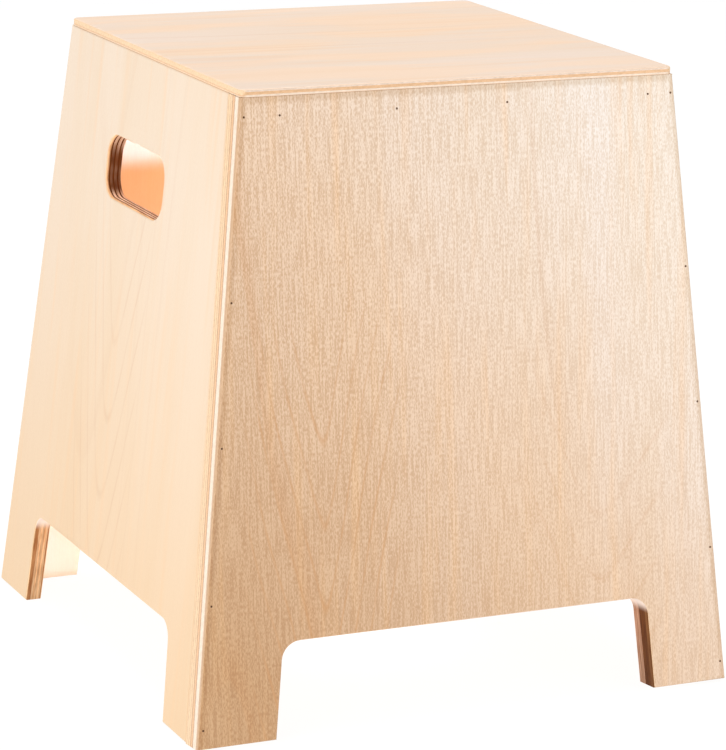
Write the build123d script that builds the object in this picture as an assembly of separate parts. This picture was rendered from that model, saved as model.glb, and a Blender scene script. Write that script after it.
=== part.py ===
from build123d import *
import os
from math import atan, cos, sin

# Overall sizes, in millimetres.
overall_height = 430.0
foot_size = 398.0            # square plan at the floor, over the panels' outer faces
head_size = 315.5            # square plan at the panels' top edges

# Boards.
top_board_thickness = 5.0
front_panel_thickness = 21.0
side_panel_thickness = 12.0
back_panel_thickness = 12.0

# Top board.
top_board_corner_radius = 5.0
top_board_edge_radius = 1.2

# Leg cut-outs, measured over the outer faces at the floor.
cutout_height = 67.0
cutout_corner_radius = 13.0
front_leg_width = 56.5       # both legs of the front panel and of the back panel
side_leg_front_width = 64.0  # in side view, with the front panel's edge
side_leg_back_width = 56.5   # in side view

# Front panel's rounded upper corners.
front_panel_corner_radius = 1.5

# Hand slots in the side panels.
slot_length = 108.0
slot_height = 44.0
slot_corner_radius = 16.0
slot_below_top = 88.0        # slot centre below the top of the cajon

# Battens under the rim of the top board.
batten_width = 18.0
batten_height = 24.0

# Brads driven through the front panel.
brad_diameter = 1.2
brad_length = 35.0
brad_sunk = 0.5              # brad head below the panel's face
brad_clearance = 0.3         # all round the brad
brad_edge_distance = 3.0     # in from the panel's slanted edges
brad_edge_heights = (15.0, 97.0, 200.0, 294.0, 412.5)
brad_row_below_joint = 12.5  # top row, below the top board
brad_row_offsets = (-131.0, -48.0, 32.5, 138.5)

# Derived sizes.
panel_top = overall_height - top_board_thickness
slope = (foot_size - head_size) / 2 / panel_top
lean = atan(slope)
hole_diameter = brad_diameter + 2 * brad_clearance
reach = 2 * foot_size        # longer than any panel, for cutting tools

# Plane on the front outer face: origin at the middle of its floor edge,
# local x along the floor, local y up the face, local z outwards.
front_face = Plane(
    origin=(0, -foot_size / 2, 0),
    x_dir=(1, 0, 0),
    z_dir=(0, -cos(lean), sin(lean)),
)

# Turns about Z that carry the front face to the other three.
FRONT = 0
LEFT = -90
BACK = 180
RIGHT = 90


def half_width(height):
    """Half the plan size over the outer faces at a height."""
    return foot_size / 2 - slope * height


def up_face(height):
    """Distance up a slanted face to a height."""
    return height / cos(lean)


def block():
    """The tapered block under the top board."""
    foot = Rectangle(foot_size, foot_size)
    head = Pos(0, 0, panel_top) * Rectangle(head_size, head_size)
    return loft([foot, head])


def layer(turn, thickness):
    """A layer of board thickness just inside one outer face."""
    sheet = extrude(front_face * Rectangle(reach, 3 * reach), -thickness)
    return Rot(0, 0, turn) * sheet


def arch(turn, left_leg, right_leg):
    """Cutting tool for the gap between two legs of one panel.

    The gap's sides run parallel to the panel's slanted edges, and its
    upper corners are rounded. The legs are named as seen from outside.
    """
    left_foot = -half_width(0) + left_leg
    right_foot = half_width(0) - right_leg
    rise = slope * cutout_height
    top = up_face(cutout_height)
    left_top = (left_foot + rise, top)
    right_top = (right_foot - rise, top)
    drop = -2 * top
    left_low = (left_foot - 2 * rise, drop)
    right_low = (right_foot + 2 * rise, drop)
    gap = make_face(Polyline(left_top, right_top, right_low, left_low, close=True))
    corners = gap.vertices().sort_by(Axis.Y)[-2:]
    gap = fillet(corners, cutout_corner_radius)
    tool = extrude(front_face * gap, reach / 8, both=True)
    return Rot(0, 0, turn) * tool


def slot(turn, offset):
    """Cutting tool for a hand slot, offset along its panel."""
    height = overall_height - slot_below_top
    outline = RectangleRounded(slot_length, slot_height, slot_corner_radius)
    placed = front_face * Pos(offset, up_face(height), 0) * outline
    tool = extrude(placed, reach / 8, both=True)
    return Rot(0, 0, turn) * tool


def brad_places():
    """Brad positions on the front face, as local x and y."""
    places = []
    for height in brad_edge_heights:
        edge = half_width(height) - brad_edge_distance
        places.append((-edge, up_face(height)))
        places.append((edge, up_face(height)))
    row_height = panel_top - brad_row_below_joint
    for offset in brad_row_offsets:
        places.append((offset, up_face(row_height)))
    return places


def brad_rods(diameter, start):
    """Rods along the brads, from a depth below the front face to the tips."""
    rods = []
    for place in brad_places():
        foot = front_face * Pos(place[0], place[1], -start) * Circle(diameter / 2)
        rods.append(extrude(foot, start - brad_sunk - brad_length))
    return rods


def brad_holes():
    """Cutting tools for the brads' holes behind the front panel."""
    return brad_rods(hole_diameter, 0.0)


def front_panel():
    """Thick front board, over the front edges of both side panels.

    Its foot is cut square to its face, so it meets the floor at the back
    of its thickness and its outer edge is a little clear of the floor.
    """
    foot = front_panel_thickness * slope
    sheet = Pos(0, foot) * Rectangle(reach, 2 * reach, align=(Align.CENTER, Align.MIN))
    for place in brad_places():
        sheet -= Pos(place[0], place[1]) * Circle(hole_diameter / 2)
    board = block() & extrude(front_face * sheet, -front_panel_thickness)
    running_back = board.edges().filter_by(Axis.Y, tolerance=20)
    top_corners = running_back.sort_by(Axis.Z)[-2:]
    board = fillet(top_corners, front_panel_corner_radius)
    return board - arch(FRONT, front_leg_width, front_leg_width)


def side_panel(turn):
    """Side board, from the front panel's back to the rear face."""
    if turn == LEFT:
        legs = (side_leg_back_width, side_leg_front_width)
        offset = -front_panel_thickness / 2
    else:
        legs = (side_leg_front_width, side_leg_back_width)
        offset = front_panel_thickness / 2
    board = block() & layer(turn, side_panel_thickness)
    board -= layer(FRONT, front_panel_thickness)
    board -= arch(turn, legs[0], legs[1])
    board -= slot(turn, offset)
    return board - brad_holes()


def back_panel():
    """Rear board, fitted between the side panels."""
    board = block() & layer(BACK, back_panel_thickness)
    board -= layer(LEFT, side_panel_thickness)
    board -= layer(RIGHT, side_panel_thickness)
    return board - arch(BACK, front_leg_width, front_leg_width)


def cavity():
    """The space inside the four panels."""
    space = block() - layer(FRONT, front_panel_thickness)
    space -= layer(BACK, back_panel_thickness)
    space -= layer(LEFT, side_panel_thickness)
    return space - layer(RIGHT, side_panel_thickness)


def rim_band(space):
    """The top of the inside, as high as the battens."""
    band = Pos(0, 0, panel_top - batten_height / 2) * Box(reach, reach, batten_height)
    return space & band


def cross_batten(turn, thickness):
    """Batten along the inside of the front or the back panel."""
    return rim_band(cavity()) & layer(turn, thickness + batten_width)


def side_batten(turn):
    """Batten along the inside of a side panel, between the cross battens."""
    batten = rim_band(cavity()) & layer(turn, side_panel_thickness + batten_width)
    batten -= layer(FRONT, front_panel_thickness + batten_width)
    return batten - layer(BACK, back_panel_thickness + batten_width)


def top_board():
    """Thin top board with rounded corners and a rounded upper rim."""
    outline = RectangleRounded(head_size, head_size, top_board_corner_radius)
    board = extrude(Pos(0, 0, panel_top) * outline, top_board_thickness)
    rim = board.faces().sort_by(Axis.Z)[-1].edges()
    return fillet(rim, top_board_edge_radius)


def front_brads():
    """The brads themselves, heads sunk below the front face."""
    return Compound(children=brad_rods(brad_diameter, brad_sunk))


pieces = {
    "top_board": top_board(),
    "front_panel": front_panel(),
    "left_side_panel": side_panel(LEFT),
    "right_side_panel": side_panel(RIGHT),
    "back_panel": back_panel(),
    "front_batten": cross_batten(FRONT, front_panel_thickness) - brad_holes(),
    "back_batten": cross_batten(BACK, back_panel_thickness),
    "left_batten": side_batten(LEFT),
    "right_batten": side_batten(RIGHT),
    "front_brads": front_brads(),
}

os.makedirs("parts", exist_ok=True)
for name, piece in pieces.items():
    export_step(piece, os.path.join("parts", name + ".step"))
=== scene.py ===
from math import atan, cos, pi, radians, sin, tan

import bmesh
import bpy
from bpy.props import FloatProperty, FloatVectorProperty, PointerProperty
from mathutils import Matrix, Vector


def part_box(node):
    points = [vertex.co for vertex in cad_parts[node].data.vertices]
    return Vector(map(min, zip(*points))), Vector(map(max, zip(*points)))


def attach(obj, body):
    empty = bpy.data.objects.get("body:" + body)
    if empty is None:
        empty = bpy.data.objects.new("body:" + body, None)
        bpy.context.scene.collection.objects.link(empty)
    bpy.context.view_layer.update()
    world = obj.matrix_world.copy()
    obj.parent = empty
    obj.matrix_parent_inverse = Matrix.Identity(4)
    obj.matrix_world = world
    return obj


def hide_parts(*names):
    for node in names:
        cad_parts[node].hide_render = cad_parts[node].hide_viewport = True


bl_info = {
    "name": "Splayed Plywood Cajon",
    "version": (1, 0, 0),
    "blender": (4, 5, 0),
    "location": "View3D > Sidebar > Cajon",
    "description": "Builds the boards, battens and brads of a splayed cajon of birch plywood",
    "category": "Add Mesh",
}

MM = 0.001

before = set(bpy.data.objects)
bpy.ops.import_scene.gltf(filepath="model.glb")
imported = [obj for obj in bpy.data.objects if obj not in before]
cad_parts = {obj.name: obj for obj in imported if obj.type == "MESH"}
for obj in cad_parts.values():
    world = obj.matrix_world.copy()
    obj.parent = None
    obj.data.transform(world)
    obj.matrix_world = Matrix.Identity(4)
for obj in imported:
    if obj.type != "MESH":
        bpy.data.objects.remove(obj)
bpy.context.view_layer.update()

# The block under the top board, read from the frame.
TOP_LOW, TOP_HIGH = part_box("top_board")
FOOT_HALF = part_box("front_panel")[1].x
HEAD_HALF = TOP_HIGH.x
PANEL_TOP = TOP_LOW.z
SLOPE = (FOOT_HALF - HEAD_HALF) / PANEL_TOP
LEAN = atan(SLOPE)

# Turns about Z, in degrees, that carry the front face to the other three.
FRONT, LEFT, BACK, RIGHT = 0, -90, 180, 90


def half_width(height):
    """Half the plan size over the outer faces at a height."""
    return FOOT_HALF - SLOPE * height


def board_gap(inner, height):
    """Thickness of a slanted board whose inner face is at a distance from the middle."""
    return (half_width(height) - inner) * cos(LEAN)


FRONT_THICKNESS = board_gap(-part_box("left_side_panel")[0].y, 0.0)
SIDE_THICKNESS = board_gap(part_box("back_panel")[1].x, 0.0)
BACK_THICKNESS = board_gap(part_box("back_batten")[1].y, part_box("back_batten")[0].z)
BATTEN_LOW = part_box("front_batten")[0].z
BATTEN_WIDTH = board_gap(-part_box("left_batten")[0].y, BATTEN_LOW) - FRONT_THICKNESS

# Boards are drawn from below the floor and trimmed to it.
BELOW_FLOOR = -FOOT_HALF / 4

# Routed edges above this distance up a face are a hand slot's, those below it a gap's.
HALFWAY_UP = 0.5 * PANEL_TOP

# Thin plies in a side or back board.
PLY_COUNT = 9

# Where each board's grain is taken from the endless pattern.
GRAIN = {"front": 1.3, "seat": 3.1, "left": 5.2, "right": 7.9, "back": 9.4}

# Segments of a rounding that shows, and of one that only eases an edge.
ROUND_SEGMENTS, EASE_SEGMENTS = 4, 2

# Brads on the two slanted edges, as heights, and in the top row, as distances from the middle.
BRAD_HEIGHTS = (15.0 * MM, 97.0 * MM, 200.0 * MM, 294.0 * MM, 412.5 * MM)
BRAD_ROW = (-131.0 * MM, -48.0 * MM, 32.5 * MM, 138.5 * MM)

# Outline of a brad's domed head, as shares of its radius and heights over the board's face.
BRAD_HEAD_OUTLINE = (
    (0.0, 0.02 * MM),
    (0.6, 0.02 * MM),
    (0.8, 0.08 * MM),
    (1.0, 0.05 * MM),
    (1.0, -0.4 * MM),
)
BRAD_SHANK = 0.7
BRAD_NECK, BRAD_POINT = 0.6 * MM, 2.0 * MM


# ---------------------------------------------------------------- settings


def length(name, description, millimetres):
    """A length setting with its default in millimetres."""
    return FloatProperty(
        name=name,
        description=description,
        default=millimetres * MM,
        min=0.0,
        subtype="DISTANCE",
        unit="LENGTH",
        precision=5,
    )


def linear(channel):
    """Linear value of a display channel from 0 to 255."""
    share = channel / 255
    return share / 12.92 if share <= 0.04045 else ((share + 0.055) / 1.055) ** 2.4


def colour(name, description, red, green, blue):
    """A colour setting with its default as display channels from 0 to 255."""
    return FloatVectorProperty(
        name=name,
        description=description,
        default=(linear(red), linear(green), linear(blue)),
        size=3,
        min=0.0,
        max=1.0,
        subtype="COLOR",
    )


class CajonSizes(bpy.types.PropertyGroup):
    """Sizes that the frame's boxes don't give."""

    cutout_height: length("Cut-out height", "Height of the gap between two legs", 67.0)
    cutout_radius: length("Cut-out radius", "Radius of a gap's upper corners", 13.0)
    front_leg: length("Front leg", "Width of a front or back panel's leg at the floor", 56.5)
    side_leg_front: length("Side leg, front", "Side view width of the front leg", 64.0)
    side_leg_back: length("Side leg, back", "Side view width of the back leg", 56.5)
    slot_length: length("Slot length", "Length of a hand slot", 108.0)
    slot_height: length("Slot height", "Height of a hand slot", 44.0)
    slot_radius: length("Slot radius", "Radius of a hand slot's corners", 16.0)
    slot_below_top: length("Slot below top", "Slot centre below the seat", 88.0)
    panel_corner: length("Panel corner", "Radius of the front panel's upper corners", 0.5)
    top_corner: length("Seat corner", "Radius of the top board's corners in plan", 5.0)
    top_rim: length("Seat rim", "Rounding of the top board's upper rim", 1.2)
    face_round: length("Face rounding", "Rounding where a panel's face meets its edges", 1.6)
    edge_round: length("Edge easing", "Easing of the inner edges and joints", 0.35)
    brad_head: length("Brad head", "Diameter of a brad's head", 1.5)
    brad_length: length("Brad length", "Length of a brad", 35.0)
    batten_round: length("Batten rounding", "Rounding of the battens' edges", 0.6)
    brad_edge_distance: length("Brad inset", "Brads in from the slanted edges", 3.0)
    brad_row_below: length("Brad row", "Top row of brads below the top board", 12.5)


class CajonColours(bpy.types.PropertyGroup):
    """Colours of the bare wood and metal."""

    veneer: colour("Veneer", "Pale birch of the side and back boards", 231, 206, 176)
    # Painted light: the side boards are paler near the seat as painted sheen and warmer near the floor
    # as painted shade.
    side_low_shaded: colour("Side, low", "Side boards near the floor", 231, 195, 150)
    side_high_sheen: colour("Side, high", "Side boards near the seat", 234, 213, 190)
    seat: colour("Seat veneer", "Rosy birch of the top board", 238, 215, 196)
    seat_warm: colour("Seat veneer, warm", "Warm bands of the top board", 245, 214, 186)
    # Painted light: the front board's three tones run from painted shade low on the left to painted
    # sheen high on the right.
    shaded_amber: colour("Amber veneer", "Front board, low on the left", 200, 157, 113)
    honey: colour("Honey veneer", "Front board, in the middle", 229, 198, 169)
    sheen_pale: colour("Sheen veneer", "Front board, high on the right", 240, 227, 215)
    warm: colour("Face ply edge", "Edge of the front board's face ply", 206, 166, 126)
    figure: colour("Figure", "Growth lines of the veneer", 205, 150, 96)
    fleck: colour("Fleck", "Soft amber flecks of the veneer", 240, 190, 130)
    cream: colour("Cream ply", "Palest ply of the boards", 244, 223, 202)
    ply_light: colour("Long plies", "Plies that run along the edge", 240, 205, 162)
    ply_dark: colour("Cross plies", "Plies that show end grain", 230, 184, 138)
    glue: colour("Glue line", "Thin lines between the plies", 176, 122, 80)
    ply_cut: colour("Cut plies", "Darker plies where an edge was routed", 174, 122, 78)
    ply_planed: colour("Planed plies", "Greyish plies behind the routed edge's dark half", 172, 134, 110)
    # Painted highlight on the upper curve of a gap, standing for the floor's reflection in it.
    curve_highlight: colour("Curve highlight", "Pale upper curve of a gap between the legs", 248, 230, 216)
    # Part router burn, part painted shade where a routed edge lies in shadow.
    browned_and_shaded: colour("Browned and shaded", "Routed edge lightly browned", 120, 78, 42)
    burnt_and_shaded: colour("Burnt and shaded", "Routed edge browned by the cutter", 98, 55, 20)
    batten: colour("Batten", "Pale softwood of the battens", 226, 196, 150)
    batten_figure: colour("Batten figure", "Late wood of the battens", 190, 142, 92)
    steel: colour("Brad steel", "Dark steel of the brads", 92, 74, 58)
    floor: colour("Floor", "Pale lit floor", 100, 100, 100)


def sizes():
    """The size settings of the open scene."""
    return bpy.context.scene.cajon_sizes


def colours():
    """The colour settings of the open scene."""
    return bpy.context.scene.cajon_colours


# ------------------------------------------------------------ mesh helpers


def face_matrix(turn):
    """Carries a flat drawing onto an outer face: x along the floor, y up, z outwards."""
    tip = Matrix.Rotation(pi / 2 - LEAN, 4, "X")
    place = Matrix.Translation((0.0, -FOOT_HALF, 0.0))
    return Matrix.Rotation(radians(turn), 4, "Z") @ place @ tip


def plane(turn, depth):
    """A point and the outward normal of the plane at a depth inside an outer face."""
    matrix = face_matrix(turn)
    return matrix @ Vector((0.0, 0.0, -depth)), matrix.to_3x3() @ Vector((0.0, 0.0, 1.0))


def trim(bm, point, outward):
    """Cuts away all beyond a plane and closes the cut."""
    everything = bm.verts[:] + bm.edges[:] + bm.faces[:]
    bmesh.ops.bisect_plane(
        bm, geom=everything, dist=1e-7, plane_co=point, plane_no=outward, clear_outer=True
    )
    rim = [edge for edge in bm.edges if edge.is_boundary]
    bmesh.ops.holes_fill(bm, edges=rim, sides=0)


def trim_outside(bm, turn, depth=0.0):
    """Cuts away what lies outside the plane at a depth inside an outer face."""
    trim(bm, *plane(turn, depth))


def trim_inside(bm, turn, depth):
    """Cuts away what lies deeper than the plane at a depth inside an outer face."""
    point, outward = plane(turn, depth)
    trim(bm, point, -outward)


def trim_heights(bm, low, high):
    """Cuts away what lies below one height or above another."""
    trim(bm, Vector((0.0, 0.0, high)), Vector((0.0, 0.0, 1.0)))
    trim(bm, Vector((0.0, 0.0, low)), Vector((0.0, 0.0, -1.0)))


def draw(bm, points):
    """A flat face through the points, given anticlockwise."""
    corners = [bm.verts.new((x, y, 0.0)) for x, y in points]
    bm.faces.new(corners)
    return corners


def round_corners(bm, corners, radius, angle=pi / 2, segments=8):
    """Rounds corners of a flat face, whose two edges meet at an angle."""
    bmesh.ops.bevel(
        bm,
        geom=corners,
        offset=radius / tan(angle / 2),
        offset_type="OFFSET",
        segments=segments,
        profile=0.5,
        affect="VERTICES",
        material=-1,
    )


def round_edges(bm, edges, radius, segments):
    """Rounds edges between two faces."""
    bmesh.ops.bevel(
        bm,
        geom=edges,
        offset=radius,
        offset_type="OFFSET",
        segments=segments,
        profile=0.5,
        affect="EDGES",
        material=-1,
        clamp_overlap=True,
    )


def thicken(bm, thickness):
    """Turns flat faces into a board that lies below them."""
    made = bmesh.ops.extrude_face_region(bm, geom=bm.faces[:], use_keep_orig=True)
    lower = [item for item in made["geom"] if isinstance(item, bmesh.types.BMVert)]
    bmesh.ops.translate(bm, verts=lower, vec=(0.0, 0.0, -thickness))
    bmesh.ops.recalc_face_normals(bm, faces=bm.faces[:])


def sharp_edges(bm, least=radians(35)):
    """Edges where the surface turns by more than an angle."""
    return [e for e in bm.edges if e.is_manifold and e.calc_face_angle(0.0) > least]


def edges_at_depth(bm, turn, depth):
    """Sharp edges that lie in the plane at a depth inside an outer face."""
    point, outward = plane(turn, depth)

    def on_plane(vert):
        return abs((vert.co - point).dot(outward)) < 0.02 * MM

    return [e for e in sharp_edges(bm) if all(on_plane(vert) for vert in e.verts)]


def add_piece(name, bm, materials, node):
    """Makes a piece of a finished mesh, which stands for a CAD node and moves with it."""
    mesh = bpy.data.meshes.new(name)
    bm.normal_update()
    bm.to_mesh(mesh)
    bm.free()
    mesh.shade_smooth()
    for material in materials:
        mesh.materials.append(material)
    piece = bpy.data.objects.new(name, mesh)
    bpy.context.scene.collection.objects.link(piece)
    soften = piece.modifiers.new("Flat faces", "WEIGHTED_NORMAL")
    soften.weight = 100
    soften.keep_sharp = True
    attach(piece, "root")
    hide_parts(node)
    return piece


# -------------------------------------------------------------- board shapes


def gap_points(low, left_leg, right_leg):
    """The four corners of the gap between two legs, from the left foot to the right."""
    size = sizes()
    left_foot = -FOOT_HALF + left_leg
    right_foot = FOOT_HALF - right_leg
    top = size.cutout_height / cos(LEAN)
    return [
        (left_foot + low * sin(LEAN), low),
        (left_foot + top * sin(LEAN), top),
        (right_foot - top * sin(LEAN), top),
        (right_foot - low * sin(LEAN), low),
    ]


def mark_routed(bm, inside):
    """Gives the second material to the walls whose middle is in a cut-out."""
    for face in bm.faces:
        if abs(face.normal.z) < 0.5 and inside(face.calc_center_median()):
            face.material_index = 1


def panel_mesh(turn, thickness, low, legs, slot_offset=None):
    """A board on one face, wide and tall enough to be trimmed, with its cut-outs."""
    size = sizes()
    reach = 2 * FOOT_HALF
    high = 2 * PANEL_TOP
    gap = gap_points(low, *legs)
    bm = bmesh.new()
    foot = [(-reach, low), *gap, (reach, low)]
    gap_top = gap[1][1]
    slot_level = (TOP_HIGH.z - size.slot_below_top) / cos(LEAN)
    if slot_offset is None:
        lower = draw(bm, [*foot, (reach, high), (-reach, high)])
    else:
        left = slot_offset - size.slot_length / 2
        right = slot_offset + size.slot_length / 2
        floor = slot_level - size.slot_height / 2
        roof = slot_level + size.slot_height / 2
        middle = [(reach, slot_level), (right, slot_level)]
        far = [(left, slot_level), (-reach, slot_level)]
        lower = draw(bm, [*foot, *middle, (right, floor), (left, floor), *far])
        rise = [*reversed(far), (left, roof), (right, roof), *reversed(middle)]
        upper = draw(bm, [*rise, (reach, high), (-reach, high)])
        round_corners(bm, lower[8:10] + upper[2:4], size.slot_radius)
    round_corners(bm, lower[2:4], size.cutout_radius, pi / 2 + LEAN)
    bmesh.ops.remove_doubles(bm, verts=bm.verts[:], dist=0.01 * MM)
    thicken(bm, thickness)

    def in_cutout(point):
        in_gap = low + MM < point.y < gap_top + MM and abs(point.x) < FOOT_HALF
        around_slot = abs(point.y - slot_level) < size.slot_height
        return in_gap or (around_slot and abs(point.x) < size.slot_length)

    mark_routed(bm, in_cutout)
    bm.transform(face_matrix(turn))
    return bm


def ease(bm, turn, thickness):
    """Rounds the outline of a board's outer face and eases that of its inner face."""
    size = sizes()
    round_edges(bm, edges_at_depth(bm, turn, 0.0), size.face_round, ROUND_SEGMENTS)
    round_edges(bm, edges_at_depth(bm, turn, thickness), size.edge_round, EASE_SEGMENTS)


# ------------------------------------------------------------------ shaders


class Shader:
    """A material's nodes, with short ways to write what wood needs."""

    def __init__(self, name):
        self.material = bpy.data.materials.new(name)
        self.material.use_nodes = True
        self.tree = self.material.node_tree
        self.surface = self.tree.nodes["Principled BSDF"]
        self.coordinates = self.tree.nodes.new("ShaderNodeTexCoord").outputs["Object"]

    def node(self, kind, inputs, **settings):
        """Adds a node, sets it up and fills its inputs with sockets or values."""
        made = self.tree.nodes.new(kind)
        for name, value in settings.items():
            setattr(made, name, value)
        for socket, value in inputs.items():
            if isinstance(value, bpy.types.NodeSocket):
                self.tree.links.new(value, made.inputs[socket])
            else:
                made.inputs[socket].default_value = value
        return made

    def math(self, operation, first, second=0.0):
        """One calculation or comparison."""
        return self.node("ShaderNodeMath", {0: first, 1: second}, operation=operation).outputs[0]

    def plus(self, first, second):
        """A sum."""
        return self.math("ADD", first, second)

    def minus(self, first, second):
        """A difference."""
        return self.math("SUBTRACT", first, second)

    def times(self, first, second):
        """A product."""
        return self.math("MULTIPLY", first, second)

    def over(self, first, second):
        """A quotient."""
        return self.math("DIVIDE", first, second)

    def mapped(self, vector, location=(0, 0, 0), rotation=(0, 0, 0), scale=(1, 1, 1)):
        """A vector scaled, turned and moved."""
        inputs = {"Vector": vector, "Location": location, "Rotation": rotation, "Scale": scale}
        return self.node("ShaderNodeMapping", inputs).outputs[0]

    def seen_from(self, matrix):
        """Object coordinates in the frame that a matrix places."""
        back = matrix.inverted()
        return self.mapped(self.coordinates, back.translation, back.to_euler())

    def noise(self, vector, scale, detail=2.0, roughness=0.5, distortion=0.0):
        """Smooth noise around one half."""
        inputs = {
            "Vector": vector,
            "Scale": scale,
            "Detail": detail,
            "Roughness": roughness,
            "Distortion": distortion,
        }
        return self.node("ShaderNodeTexNoise", inputs).outputs["Fac"]

    def ramp(self, value, stops, interpolation="LINEAR"):
        """Grey or coloured values between stops, each a position and a value."""
        made = self.node("ShaderNodeValToRGB", {"Fac": value})
        made.color_ramp.interpolation = interpolation
        elements = made.color_ramp.elements
        while len(elements) < len(stops):
            elements.new(1.0)
        for element, (position, tone) in zip(elements, stops):
            element.position = position
            rgb = (tone, tone, tone) if isinstance(tone, (int, float)) else tuple(tone)
            element.color = (*rgb, 1.0)
        return made.outputs["Color"]

    def span(self, value, low, high, to_low=0.0, to_high=1.0):
        """A value carried smoothly from one range to another, and kept inside it."""
        inputs = {"Value": value, 1: low, 2: high, 3: to_low, 4: to_high}
        made = self.node("ShaderNodeMapRange", inputs, interpolation_type="SMOOTHSTEP")
        return made.outputs[0]

    def mix(self, share, first, second, blend="MIX"):
        """Two colours mixed by a share."""
        made = self.node("ShaderNodeMix", {0: share}, data_type="RGBA", blend_type=blend)
        for socket, value in ((6, first), (7, second)):
            if isinstance(value, bpy.types.NodeSocket):
                self.tree.links.new(value, made.inputs[socket])
            else:
                made.inputs[socket].default_value = (*tuple(value)[:3], 1.0)
        return made.outputs[2]

    def grey(self, value):
        """A grey colour of a value."""
        inputs = {0: value, 1: value, 2: value}
        return self.node("ShaderNodeCombineColor", inputs).outputs[0]

    def finish(self, base, height, strength, distance=0.2 * MM):
        """Colours the surface and gives it relief."""
        self.tree.links.new(base, self.surface.inputs["Base Color"])
        inputs = {"Height": height, "Strength": strength, "Distance": distance}
        relief = self.node("ShaderNodeBump", inputs).outputs[0]
        self.tree.links.new(relief, self.surface.inputs["Normal"])
        return self.material


def separate(shader, vector):
    """The three parts of a vector."""
    return shader.node("ShaderNodeSeparateXYZ", {0: vector}).outputs


def veneer(shader, place, seed, look):
    """Rotary cut birch, with its grain along y. Gives its colour and its relief."""
    tint = colours()
    along = shader.mapped(place, location=(seed, seed * 0.7, 0.0), scale=(1.0, 0.11, 1.0))
    clouds = shader.noise(along, 13.0, 3.0, 0.55, 0.4)
    ground = look["ground"](shader, place)
    warmer = shader.mix(1.0, ground, (0.985, 0.955, 0.90), "MULTIPLY")
    base = shader.mix(shader.span(clouds, 0.38, 0.64), ground, warmer)

    rings = shader.noise(along, look["ring_scale"], 1.2, 0.4, 0.15)
    repeats = shader.math("FRACT", shader.times(rings, look["ring_count"]))
    thin = shader.ramp(repeats, [(0.0, 0.0), (0.80, 0.0), (0.965, 1.0), (1.0, 0.0)])
    faint = shader.span(shader.noise(along, 8.0, 2.0), 0.42, 0.66)
    drawn = shader.times(thin, shader.times(faint, look["ring_depth"]))
    base = shader.mix(drawn, base, tint.figure)
    bands = shader.noise(shader.mapped(place, scale=(1.0, 0.045, 1.0)), 75.0, 2.0, 0.6)
    base = shader.mix(shader.span(bands, 0.50, 0.75, 0.0, look["flecks"]), base, tint.fleck)

    streaks = shader.noise(shader.mapped(place, scale=(1.0, 0.04, 1.0)), 800.0, 2.0, 0.6)
    speckle = shader.noise(shader.mapped(place, scale=(1.0, 0.28, 1.0)), 1450.0, 1.0, 0.6)
    fibre = shader.plus(streaks, shader.times(speckle, 1.2))
    share = shader.span(fibre, 0.90, 1.30)
    dark, light = look["fibre"]
    flecked = shader.mix(1.0, base, shader.mix(share, dark, light), "MULTIPLY")
    across = separate(shader, place)[0]
    base = shader.mix(shader.span(across, -HEAD_HALF, HEAD_HALF, 1.0, 0.7), base, flecked)
    return base, shader.plus(streaks, shader.times(speckle, 0.5))


def plain_ground(shader, place):
    """The same pale birch all over a board, for the figure to be drawn on."""
    return shader.mix(0.0, colours().veneer, colours().veneer)


def side_ground(shader, place):
    """Pale birch, warmer towards the floor as painted shade and paler towards the seat as painted sheen.
    """
    tint = colours()
    up = separate(shader, place)[1]
    # Painted shade low, painted sheen high.
    return shader.mix(shader.span(up, -0.1, PANEL_TOP), tint.side_low_shaded, tint.side_high_sheen)


def seat_ground(shader, place):
    """The seat's slightly rosy birch, with warm wavy bands."""
    tint = colours()
    along = shader.mapped(place, scale=(1.0, 0.22, 1.0))
    waves = shader.noise(along, 26.0, 2.5, 0.55, 0.5)
    return shader.mix(shader.span(waves, 0.42, 0.62), tint.seat, tint.seat_warm)


def front_ground(shader, place):
    """Front birch with painted light: darker amber low on the left as painted shade, paler to the upper
    right as painted sheen, and darker within a few millimetres of the slanted edges and the top.
    """
    tint = colours()
    part = separate(shader, place)
    across = shader.over(part[0], 2 * HEAD_HALF)
    up = shader.over(shader.minus(part[1], PANEL_TOP / 2), PANEL_TOP)
    drift = shader.noise(place, 5.0, 1.0)
    climb = shader.plus(across, shader.times(up, 1.1))
    climb = shader.plus(climb, shader.times(drift, 0.3))
    inputs = {"Value": climb, 1: -0.75, 2: 1.0}
    share = shader.node("ShaderNodeMapRange", inputs).outputs[0]
    # Painted shade low on the left, painted sheen high on the right.
    ground = shader.ramp(share, [(0.0, tint.shaded_amber), (0.5, tint.honey), (1.0, tint.sheen_pale)])
    lean_in = shader.times(part[1], sin(LEAN))
    beside = shader.plus(shader.math("ABSOLUTE", part[0]), lean_in)
    beside = shader.span(shader.minus(FOOT_HALF, beside), 2.2 * MM, 5.0 * MM)
    below = shader.minus(PANEL_TOP / cos(LEAN), part[1])
    within = shader.times(beside, shader.span(below, 2.2 * MM, 6.0 * MM))
    border = shader.mix(1.0, ground, (0.86, 0.80, 0.72), "MULTIPLY")
    return shader.mix(within, border, ground)


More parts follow.
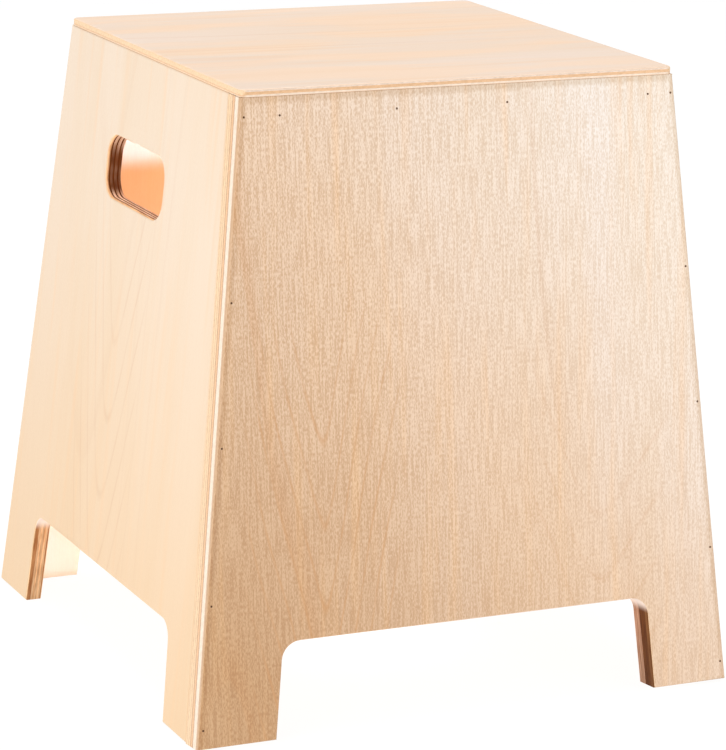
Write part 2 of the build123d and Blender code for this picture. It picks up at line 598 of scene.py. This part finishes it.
def cathedral(shader, place, base, figure):
    """Nested growth lines that point down the board, drawn over a base colour."""
    part = separate(shader, place)
    drift = shader.noise(shader.mapped(place, scale=(1.0, 0.25, 1.0)), 12.0, 1.5)
    drift = shader.times(shader.minus(drift, 0.5), figure["drift"])
    across = shader.plus(shader.minus(part[0], figure["centre"]), drift)
    blunt = figure["blunt"]
    square = shader.plus(shader.times(across, across), blunt * blunt)
    arms = shader.times(shader.math("SQRT", square), figure["steep"])
    arms = shader.minus(arms, shader.times(across, figure["skew"]))
    foot = figure["apex"] - figure["steep"] * blunt
    climb = shader.minus(shader.minus(part[1], arms), foot)
    period = figure["period"]
    repeats = shader.math("FRACT", shader.over(climb, period))
    thin = shader.ramp(repeats, [(0.0, 0.3), (0.05, 0.0), (0.84, 0.0), (0.95, 1.0), (1.0, 0.3)])
    width = figure["width"]
    near = shader.span(shader.math("ABSOLUTE", across), 0.7 * width, width, 1.0, 0.0)
    top = figure["lines"] * period
    near = shader.times(near, shader.span(climb, top - period / 2, top, 1.0, 0.0))
    fade_low, fade_high = figure["fade"]
    near = shader.times(near, shader.span(part[1], fade_low, fade_high, 1.0, 0.0))
    patchy = shader.span(shader.noise(place, 24.0, 2.0), 0.38, 0.58, 0.5, 1.0)
    drawn = shader.times(thin, shader.times(near, patchy))
    return shader.mix(shader.times(drawn, figure["depth"]), base, colours().figure)


def even_plies(thickness, count):
    """Bands of a board of like plies, each a depth below the face and a tone.

    The plies across the edge show a little narrower than those along it.
    """
    ply = thickness / count
    cross_width = 0.6 * ply
    bands = [(0.0, "long")]
    for index in range(1, count, 2):
        middle = (index + 0.5) * ply
        bands.append((middle - cross_width / 2, "cross"))
        bands.append((middle + cross_width / 2, "long"))
    return bands


def gap_bands():
    """Bands where a side board's gap was routed."""
    return [
        (0.0, "long"),
        (0.8 * MM, "cut"),
        (3.6 * MM, "tan"),
        (5.2 * MM, "cross"),
        (6.2 * MM, "tan"),
        (8.0 * MM, "cross"),
        (9.2 * MM, "tan"),
        (10.6 * MM, "cut"),
        (11.4 * MM, "tan"),
    ]


def slot_bands():
    """Bands where a side board's hand slot was routed."""
    first, step, width = 2.5 * MM, 3.1 * MM, 1.1 * MM
    bands = [(0.0, "long")]
    for index in range(3):
        start = first + step * index
        bands.append((start, "burnt_and_shaded"))
        bands.append((start + width, "cream"))
    return bands


def ply_colours(shader, depth, thickness, bands, tones):
    """Colour of a sawn edge at a depth below the face."""
    share = shader.over(depth, thickness)
    stops = [(start / thickness, tones[tone]) for start, tone in bands]
    return shader.ramp(share, stops, "CONSTANT")


def burn_and_shade_slot_ends(shader, place, depth, edge, look):
    """Browns a slot's two ends, but not their outer rim, and less on the upper curves: part router burn,
    part painted shade.
    """
    size = sizes()
    across, up, _ = separate(shader, place)
    half = size.slot_length / 2
    level = (TOP_HIGH.z - size.slot_below_top) / cos(LEAN)
    patchy = shader.noise(shader.mapped(place, scale=(1.0, 1.0, 0.4)), 60.0, 2.0)
    share = shader.span(patchy, 0.3, 0.7, *look["burn_and_shade"])
    aside = shader.math("ABSOLUTE", shader.minus(across, look["slot_offset"]))
    below_roof = shader.span(up, level + 6 * MM, level + 20 * MM, 1.0, 0.3)
    for limit in (
        shader.span(aside, half - 12 * MM, half - 3 * MM),
        shader.span(depth, 1.4 * MM, 2.8 * MM),
        below_roof,
    ):
        share = shader.times(share, limit)
    return shader.mix(share, edge, colours().burnt_and_shaded)


def board_material(name, turn, thickness, bands, seed, look, routed=False, extra=None):
    """Lacquered plywood: veneer on both faces, and its plies along the edges."""
    tint = colours()
    shader = Shader(name)
    place = shader.seen_from(face_matrix(turn) if turn is not None else TOP_FRAME)
    part = separate(shader, place)
    depth = shader.times(part[2], -1.0)
    face, relief = veneer(shader, place, seed, look)
    if extra:
        face = extra(shader, place, face)
    tones = {
        "long": tint.ply_light,
        "cross": tint.ply_dark,
        "cut": tint.ply_cut,
        "planed": tint.ply_planed,
        "glue": tint.glue,
        "browned_and_shaded": tint.browned_and_shaded,
        "burnt_and_shaded": tint.burnt_and_shaded,
        "tan": tint.warm,
        "cream": tint.cream,
        "seat": tint.seat,
    }
    edge = ply_colours(shader, depth, thickness, bands, tones)
    # A slot's ends are browned: part router burn, part painted shade.
    if "slot_offset" in look:
        at_slot = shader.math("GREATER_THAN", part[1], HALFWAY_UP)
        slot_edge = ply_colours(shader, depth, thickness, slot_bands(), tones)
        edge = shader.mix(at_slot, edge, burn_and_shade_slot_ends(shader, place, depth, slot_edge, look))
    if "end_bands" in look:
        at_end = shader.math("ABSOLUTE", part[1])
        at_end = shader.span(at_end, HEAD_HALF - 5 * MM, HEAD_HALF - 1 * MM)
        end_edge = ply_colours(shader, depth, thickness, look["end_bands"], tones)
        edge = shader.mix(at_end, edge, end_edge)
    if routed:
        pores = shader.noise(shader.mapped(place, scale=(0.07, 0.07, 1.0)), 800.0, 3.0, 0.7)
        darkest, lightest = (0.70, 0.56, 0.44), (1.22, 1.24, 1.26)
    else:
        pores = shader.noise(shader.mapped(place, scale=(1.0, 0.5, 1.6)), 650.0, 3.0, 0.65)
        darkest, lightest = (0.88, 0.85, 0.80), (1.07, 1.07, 1.07)
    shade = shader.mix(shader.span(pores, 0.3, 0.7), darkest, lightest)
    edge = shader.mix(1.0, edge, shade, "MULTIPLY")
    if routed:
        # Painted highlight: the upper curve of a gap between the legs is paled, standing for the floor's
        # reflection in it.
        curve = sizes().cutout_height / cos(LEAN)
        highlight_share = shader.span(part[1], curve - 12 * MM, curve - 4 * MM, 0.0, 0.85)
        highlight_share = shader.times(highlight_share, shader.math("LESS_THAN", part[1], HALFWAY_UP))
        edge = shader.mix(highlight_share, edge, tint.curve_highlight)
    skin_low, skin_high = 0.35 * MM, 0.6 * MM
    outer = shader.span(depth, skin_low, skin_high, 1.0, 0.0)
    inner = shader.span(depth, thickness - skin_high, thickness - skin_low)
    skin = shader.math("MAXIMUM", outer, inner)
    base = shader.mix(skin, edge, face)
    shader.surface.inputs["Roughness"].default_value = 0.85 if routed else look["roughness"]
    shader.surface.inputs["Specular IOR Level"].default_value = 0.15 if routed else 0.5
    shader.surface.inputs["Coat Weight"].default_value = 0.0 if routed else look["coat"]
    shader.surface.inputs["Coat Roughness"].default_value = look["coat_roughness"]
    return shader.finish(base, relief, look["relief"])


TOP_FRAME = Matrix.Translation((0.0, 0.0, TOP_HIGH.z)) @ Matrix.Rotation(-pi / 2, 4, "Z")

SMOOTH = ((0.985, 0.97, 0.95), (1.01, 1.012, 1.015))

LOOK = {
    "ground": plain_ground,
    "ring_scale": 6.0,
    "ring_count": 13.0,
    "ring_depth": 0.35,
    "flecks": 0.3,
    "fibre": ((0.87, 0.785, 0.68), (1.11, 1.155, 1.22)),
    "roughness": 0.45,
    "coat": 0.35,
    "coat_roughness": 0.35,
    "relief": 0.25,
}


def seat_bands():
    """Bands of the top board along its front and back edges, from its face downwards."""
    return [(0.0, "seat"), (1.5 * MM, "cross"), (3.5 * MM, "cream"), (4.8 * MM, "glue")]


def seat_end_bands():
    """Bands of the top board along its left and right edges, from its face downwards."""
    return [(0.0, "long"), (3.3 * MM, "cross"), (4.2 * MM, "long"), (4.8 * MM, "glue")]


def front_bands():
    """Bands of the thick front board, from its face inwards."""
    return [
        (0.0, "tan"),
        (3.4 * MM, "cream"),
        (8.6 * MM, "glue"),
        (9.3 * MM, "cross"),
        (12.4 * MM, "glue"),
        (13.1 * MM, "long"),
        (15.5 * MM, "glue"),
        (15.8 * MM, "long"),
        (18.7 * MM, "glue"),
        (19.0 * MM, "long"),
    ]


def routed_front_bands():
    """Bands where the front board's gap was routed; the dark front half is part router burn, part
    painted shade.
    """
    return [
        (0.0, "long"),
        (0.6 * MM, "browned_and_shaded"),
        (4.6 * MM, "burnt_and_shaded"),
        (12.5 * MM, "planed"),
        (16.6 * MM, "browned_and_shaded"),
        (16.9 * MM, "planed"),
    ]


def front_figure(shader, place, face):
    """Two groups of nested growth lines low on the front board."""
    for figure in (
        {
            "centre": -104 * MM, "apex": 90 * MM, "period": 56 * MM, "lines": 2.6,
            "steep": 4.8, "skew": -0.2, "blunt": 4 * MM, "width": 62 * MM,
            "drift": 20 * MM, "depth": 0.75, "fade": (200 * MM, 340 * MM),
        },
        {
            "centre": 96 * MM, "apex": 88 * MM, "period": 46 * MM, "lines": 1.5,
            "steep": 2.2, "skew": 0.6, "blunt": 14 * MM, "width": 60 * MM,
            "drift": 24 * MM, "depth": 0.22, "fade": (200 * MM, 300 * MM),
        },
    ):
        face = cathedral(shader, place, face, figure)
    return face


def side_figure(shader, place, face):
    """A faint group of growth lines low on a side board."""
    figure = {
        "centre": -20 * MM, "apex": 120 * MM, "period": 55 * MM, "lines": 2.4,
        "steep": 4.0, "skew": 0.5, "blunt": 12 * MM, "width": 60 * MM,
        "drift": 20 * MM, "depth": 0.28, "fade": (280 * MM, 400 * MM),
    }
    return cathedral(shader, place, face, figure)


def batten_material(name, stretch):
    """Plain sawn softwood, with its grain along the batten."""
    tint = colours()
    shader = Shader(name)
    place = shader.mapped(shader.coordinates, scale=stretch)
    rings = shader.noise(place, 260.0, 2.0, 0.5, 0.6)
    share = shader.span(rings, 0.35, 0.75, 0.0, 0.6)
    base = shader.mix(share, tint.batten, tint.batten_figure)
    fuzz = shader.noise(shader.coordinates, 900.0, 2.0)
    base = shader.mix(1.0, base, shader.grey(shader.span(fuzz, 0.2, 0.8, 0.9, 1.06)), "MULTIPLY")
    shader.surface.inputs["Roughness"].default_value = 0.7
    return shader.finish(base, fuzz, 0.3)


def steel_material():
    """Dark steel with a little rust brown."""
    shader = Shader("brad_steel")
    mottle = shader.noise(shader.coordinates, 2500.0, 2.0)
    base = shader.mix(shader.span(mottle, 0.3, 0.7), colours().steel, colours().burnt_and_shaded)
    shader.surface.inputs["Metallic"].default_value = 0.7
    shader.surface.inputs["Roughness"].default_value = 0.5
    return shader.finish(base, mottle, 0.2)


# ---------------------------------------------------------------- operators


class MakeTopBoard(bpy.types.Operator):
    """Make the thin seat board with rounded corners and a rounded upper rim"""

    bl_idname = "cajon.make_top_board"
    bl_label = "Top Board"

    def execute(self, context):
        size = sizes()
        half = HEAD_HALF
        thickness = TOP_HIGH.z - TOP_LOW.z
        bm = bmesh.new()
        corners = draw(bm, [(-half, -half), (half, -half), (half, half), (-half, half)])
        round_corners(bm, corners, size.top_corner)
        thicken(bm, thickness)
        bmesh.ops.translate(bm, verts=bm.verts[:], vec=(0.0, 0.0, TOP_HIGH.z))
        rim = [e for e in sharp_edges(bm) if all(v.co.z > TOP_HIGH.z - MM for v in e.verts)]
        round_edges(bm, rim, size.top_rim, ROUND_SEGMENTS)
        under = [e for e in sharp_edges(bm) if all(v.co.z < TOP_LOW.z + MM for v in e.verts)]
        round_edges(bm, under, size.edge_round, EASE_SEGMENTS)
        look = {
            **LOOK, "ground": seat_ground, "ring_depth": 0.2, "fibre": SMOOTH,
            "end_bands": seat_end_bands(),
        }
        wood = board_material("seat_birch", None, thickness, seat_bands(), GRAIN["seat"], look)
        add_piece("seat_board", bm, [wood], "top_board")
        return {"FINISHED"}


class MakeFrontPanel(bpy.types.Operator):
    """Make the thick front board, its foot cut square to its face"""

    bl_idname = "cajon.make_front_panel"
    bl_label = "Front Panel"

    def execute(self, context):
        size = sizes()
        foot = FRONT_THICKNESS * SLOPE
        bm = panel_mesh(FRONT, FRONT_THICKNESS, foot, (size.front_leg, size.front_leg))
        trim(bm, Vector((0.0, 0.0, PANEL_TOP)), Vector((0.0, 0.0, 1.0)))
        trim_outside(bm, LEFT)
        trim_outside(bm, RIGHT)
        edge = half_width(PANEL_TOP)
        corners = [
            e
            for e in sharp_edges(bm)
            if all(v.co.z > PANEL_TOP - MM and abs(v.co.x) > edge - MM for v in e.verts)
        ]
        round_edges(bm, corners, size.panel_corner, 6)
        ease(bm, FRONT, FRONT_THICKNESS)
        look = {**LOOK, "ground": front_ground}
        bare = board_material(
            "front_birch", FRONT, FRONT_THICKNESS, front_bands(), GRAIN["front"], look,
            extra=front_figure,
        )
        routed = board_material(
            "front_routed", FRONT, FRONT_THICKNESS, routed_front_bands(), GRAIN["front"], LOOK,
            routed=True,
        )
        add_piece("front_board", bm, [bare, routed], "front_panel")
        return {"FINISHED"}


class MakeSidePanels(bpy.types.Operator):
    """Make the two side boards with their hand slots"""

    bl_idname = "cajon.make_side_panels"
    bl_label = "Side Panels"

    def execute(self, context):
        size = sizes()
        offset = FRONT_THICKNESS / 2
        places = (
            ("left", LEFT, (size.side_leg_back, size.side_leg_front), -offset),
            ("right", RIGHT, (size.side_leg_front, size.side_leg_back), offset),
        )
        bands = even_plies(SIDE_THICKNESS, PLY_COUNT)
        look = {**LOOK, "ground": side_ground, "ring_depth": 0.08, "flecks": 0.25, "fibre": SMOOTH}
        for side, turn, legs, slot_offset in places:
            bm = panel_mesh(turn, SIDE_THICKNESS, BELOW_FLOOR, legs, slot_offset)
            trim_heights(bm, 0.0, PANEL_TOP)
            trim_outside(bm, FRONT, FRONT_THICKNESS)
            trim_outside(bm, BACK)
            ease(bm, turn, SIDE_THICKNESS)
            bare = board_material(
                side + "_birch", turn, SIDE_THICKNESS, bands, GRAIN[side], look,
                extra=side_figure,
            )
            cut = {**look, "burn_and_shade": (0.85, 1.0), "slot_offset": slot_offset}
            routed = board_material(
                side + "_routed", turn, SIDE_THICKNESS, gap_bands(), GRAIN[side], cut,
                routed=True,
            )
            node = side + "_side_panel"
            add_piece(side + "_side_board", bm, [bare, routed], node)
        return {"FINISHED"}


class MakeBackPanel(bpy.types.Operator):
    """Make the back board, fitted between the side boards"""

    bl_idname = "cajon.make_back_panel"
    bl_label = "Back Panel"

    def execute(self, context):
        size = sizes()
        legs = (size.front_leg, size.front_leg)
        bm = panel_mesh(BACK, BACK_THICKNESS, BELOW_FLOOR, legs)
        trim_heights(bm, 0.0, PANEL_TOP)
        trim_outside(bm, LEFT, SIDE_THICKNESS)
        trim_outside(bm, RIGHT, SIDE_THICKNESS)
        ease(bm, BACK, BACK_THICKNESS)
        bands = even_plies(BACK_THICKNESS, PLY_COUNT)
        look = {**LOOK, "ring_depth": 0.12, "flecks": 0.2, "fibre": SMOOTH}
        bare = board_material("back_birch", BACK, BACK_THICKNESS, bands, GRAIN["back"], look)
        routed = board_material(
            "back_routed", BACK, BACK_THICKNESS, gap_bands(), GRAIN["back"], look, routed=True
        )
        add_piece("back_board", bm, [bare, routed], "back_panel")
        return {"FINISHED"}


class MakeBattens(bpy.types.Operator):
    """Make the four battens under the rim of the seat"""

    bl_idname = "cajon.make_battens"
    bl_label = "Battens"

    def execute(self, context):
        across = batten_material("batten_softwood_across", (0.02, 1.0, 1.0))
        along = batten_material("batten_softwood_along", (1.0, 0.02, 1.0))
        front = (FRONT, FRONT_THICKNESS)
        back = (BACK, BACK_THICKNESS)
        left = (LEFT, SIDE_THICKNESS)
        right = (RIGHT, SIDE_THICKNESS)
        past_front = (FRONT, FRONT_THICKNESS + BATTEN_WIDTH)
        past_back = (BACK, BACK_THICKNESS + BATTEN_WIDTH)
        ends = {
            "front": (front, (left, right), across),
            "back": (back, (left, right), across),
            "left": (left, (past_front, past_back), along),
            "right": (right, (past_front, past_back), along),
        }
        for name, ((turn, depth), stops, wood) in ends.items():
            bm = bmesh.new()
            bmesh.ops.create_cube(bm, size=3 * PANEL_TOP)
            trim_heights(bm, BATTEN_LOW, PANEL_TOP)
            trim_outside(bm, turn, depth)
            trim_inside(bm, turn, depth + BATTEN_WIDTH)
            for stop_turn, stop_depth in stops:
                trim_outside(bm, stop_turn, stop_depth)
            round_edges(bm, sharp_edges(bm), sizes().batten_round, EASE_SEGMENTS)
            add_piece(name + "_rail", bm, [wood], name + "_batten")
        return {"FINISHED"}


class MakeBrads(bpy.types.Operator):
    """Make the brads along the front board's edges and top"""

    bl_idname = "cajon.make_brads"
    bl_label = "Brads"

    def execute(self, context):
        size = sizes()
        radius = size.brad_head / 2
        shank = BRAD_SHANK * radius
        points = [(share * radius, height) for share, height in BRAD_HEAD_OUTLINE]
        points += [(shank, -BRAD_NECK), (shank, BRAD_POINT - size.brad_length)]
        points.append((0.0, -size.brad_length))
        bm = bmesh.new()
        for across, up in brad_places():
            verts = [bm.verts.new((x, 0.0, height)) for x, height in points]
            edges = [bm.edges.new(pair) for pair in zip(verts, verts[1:])]
            bmesh.ops.spin(
                bm, geom=verts + edges, cent=(0, 0, 0), axis=(0, 0, 1), dvec=(0, 0, 0),
                angle=2 * pi, steps=12, use_merge=True,
            )
            made = [vert for vert in bm.verts if not vert.tag]
            bmesh.ops.translate(bm, verts=made, vec=(across, up, 0.0))
            for vert in made:
                vert.tag = True
        bmesh.ops.remove_doubles(bm, verts=bm.verts[:], dist=0.005 * MM)
        bmesh.ops.recalc_face_normals(bm, faces=bm.faces[:])
        bm.transform(face_matrix(FRONT))
        add_piece("brads", bm, [steel_material()], "front_brads")
        return {"FINISHED"}


def brad_places():
    """Brad positions on the front face, as distances along it and up it."""
    size = sizes()
    places = []
    for height in BRAD_HEIGHTS:
        edge = half_width(height) - size.brad_edge_distance
        for side in (-edge, edge):
            places.append((side, height / cos(LEAN)))
    row = (PANEL_TOP - size.brad_row_below) / cos(LEAN)
    for offset in BRAD_ROW:
        places.append((offset, row))
    return places


# -------------------------------------------------------------------- stage

FLOOR_HALF, FLOOR_DROP, FLOOR_GLOW = 30.0, 0.2 * MM, 0.92
WORLD_STRENGTH = 0.6

# Soft lights around the cajon: name, place, aim, size in metres and power in watts.
SOFTBOXES = (
    ("Key from the left", (-1.8, -0.65, 0.30), (0.0, 0.0, 0.24), (1.4, 0.6), 13.0),
    ("Sheen from the right", (0.9, -1.3, 0.35), (0.1, -0.2, 0.25), (0.7, 0.7), 4.0),
    ("Overhead", (0.0, 0.3, 2.2), (0.0, 0.0, 0.4), (1.6, 1.6), 24.0),
)

# Gridded lights inside: name, spans across and up, power in watts and colour.
INNER_BEAMS = (
    ("Slot beam", (-0.145, -0.045), (0.323, 0.368), 0.021, (0.35, 0.60, 1.0)),
    ("Leg beam", (-0.175, -0.065), (0.002, 0.072), 0.022, (0.45, 0.70, 1.0)),
)
BEAM_SPREAD = radians(8)

# Small lights on the middle axis inside: name, height, power in watts and colour.
INNER_GLOWS = (
    ("High glow", 0.27, 0.50, (1.0, 0.46, 0.18)),
    ("Low glow", 0.03, 0.50, (1.0, 0.93, 0.88)),
)
GLOW_SIZE = 0.06

CAMERA_PLACE = (-1.0020, -2.1755, 0.8112)
CAMERA_AIM = (0.0059, 0.0, 0.1894)
CAMERA_ROLL = radians(1.36)
CAMERA_LENS = 166.5


class MakeStage(bpy.types.Operator):
    """Make the pale floor, the soft lights and the camera"""

    bl_idname = "cajon.make_stage"
    bl_label = "Stage"

    def execute(self, context):
        scene = context.scene
        scene.view_settings.view_transform = "Standard"
        add_floor()
        add_world()
        for softbox in SOFTBOXES:
            add_softbox(*softbox)
        add_inner_beams()
        add_inner_glows()
        add_camera()
        return {"FINISHED"}


def add_floor():
    """A wide pale floor, just clear of the feet."""
    bm = bmesh.new()
    bmesh.ops.create_grid(bm, x_segments=1, y_segments=1, size=FLOOR_HALF)
    bmesh.ops.translate(bm, verts=bm.verts[:], vec=(0.0, 0.0, -FLOOR_DROP))
    mesh = bpy.data.meshes.new("floor")
    bm.to_mesh(mesh)
    bm.free()
    shader = Shader("floor")
    surface = shader.surface
    surface.inputs["Base Color"].default_value = (*colours().floor, 1.0)
    surface.inputs["Roughness"].default_value = 0.9
    surface.inputs["Specular IOR Level"].default_value = 0.0
    surface.inputs["Emission Color"].default_value = (1.0, 1.0, 1.0, 1.0)
    surface.inputs["Emission Strength"].default_value = FLOOR_GLOW
    mesh.materials.append(shader.material)
    floor = bpy.data.objects.new("floor", mesh)
    bpy.context.scene.collection.objects.link(floor)


def add_world():
    """An even white surround."""
    world = bpy.data.worlds.new("surround")
    world.use_nodes = True
    background = world.node_tree.nodes["Background"]
    background.inputs["Color"].default_value = (1.0, 1.0, 1.0, 1.0)
    background.inputs["Strength"].default_value = WORLD_STRENGTH
    bpy.context.scene.world = world


def add_softbox(name, place, aim, size, power):
    """A soft rectangular light that looks at a point."""
    data = bpy.data.lights.new(name, "AREA")
    data.shape = "RECTANGLE"
    data.size, data.size_y = size
    data.energy = power
    lamp = bpy.data.objects.new(name, data)
    lamp.location = place
    lamp.rotation_mode = "QUATERNION"
    lamp.rotation_quaternion = (Vector(aim) - Vector(place)).to_track_quat("-Z", "Y")
    lamp.visible_camera = False
    bpy.context.scene.collection.objects.link(lamp)
    return lamp


def add_inner_beams():
    """Lights that pale the back board behind the left slot and at its left leg."""
    for name, across, up, power, tone in INNER_BEAMS:
        middle = Vector((sum(across) / 2, 0.0, sum(up) / 2))
        heading = Vector((0.0, 0.1, 0.0))
        size = (across[1] - across[0], up[1] - up[0])
        lamp = add_softbox(name, middle, middle + heading, size, power)
        lamp.data.color = tone
        lamp.data.spread = BEAM_SPREAD


def add_inner_glows():
    """Warm light under the seat and pale light near the floor."""
    for name, height, power, tone in INNER_GLOWS:
        data = bpy.data.lights.new(name, "POINT")
        data.energy = power
        data.color = tone
        data.shadow_soft_size = GLOW_SIZE
        lamp = bpy.data.objects.new(name, data)
        lamp.location = (0.0, 0.0, height)
        lamp.visible_camera = False
        bpy.context.scene.collection.objects.link(lamp)


def add_camera():
    """A long lens, a little above the seat and left of the front."""
    place = Vector(CAMERA_PLACE)
    aim = Vector(CAMERA_AIM)
    data = bpy.data.cameras.new("camera")
    data.lens = CAMERA_LENS
    camera = bpy.data.objects.new("camera", data)
    camera.rotation_mode = "QUATERNION"
    level = (aim - place).to_track_quat("-Z", "Y")
    camera.rotation_quaternion = level @ Matrix.Rotation(CAMERA_ROLL, 3, "Z").to_quaternion()
    camera.location = place
    bpy.context.scene.collection.objects.link(camera)
    bpy.context.scene.camera = camera


# --------------------------------------------------------- panel and registry


class CAJON_PT_build(bpy.types.Panel):
    """Lists the pieces in the order in which they are made"""

    bl_label = "Splayed Cajon"
    bl_space_type = "VIEW_3D"
    bl_region_type = "UI"
    bl_category = "Cajon"

    def draw(self, context):
        for settings in (context.scene.cajon_sizes, context.scene.cajon_colours):
            box = self.layout.box()
            for name in settings.__annotations__:
                box.prop(settings, name)
        for operator in OPERATORS:
            self.layout.operator(operator.bl_idname)


OPERATORS = (
    MakeTopBoard,
    MakeFrontPanel,
    MakeSidePanels,
    MakeBackPanel,
    MakeBattens,
    MakeBrads,
    MakeStage,
)
CLASSES = (CajonSizes, CajonColours, *OPERATORS, CAJON_PT_build)


def register():
    for one in CLASSES:
        bpy.utils.register_class(one)
    bpy.types.Scene.cajon_sizes = PointerProperty(type=CajonSizes)
    bpy.types.Scene.cajon_colours = PointerProperty(type=CajonColours)


def unregister():
    del bpy.types.Scene.cajon_colours
    del bpy.types.Scene.cajon_sizes
    for one in reversed(CLASSES):
        bpy.utils.unregister_class(one)


def main():
    """Makes every piece."""
    register()
    bpy.ops.cajon.make_top_board()
    bpy.ops.cajon.make_front_panel()
    bpy.ops.cajon.make_side_panels()
    bpy.ops.cajon.make_back_panel()
    bpy.ops.cajon.make_battens()
    bpy.ops.cajon.make_brads()
    bpy.ops.cajon.make_stage()


if __name__ == "__main__":
    main()
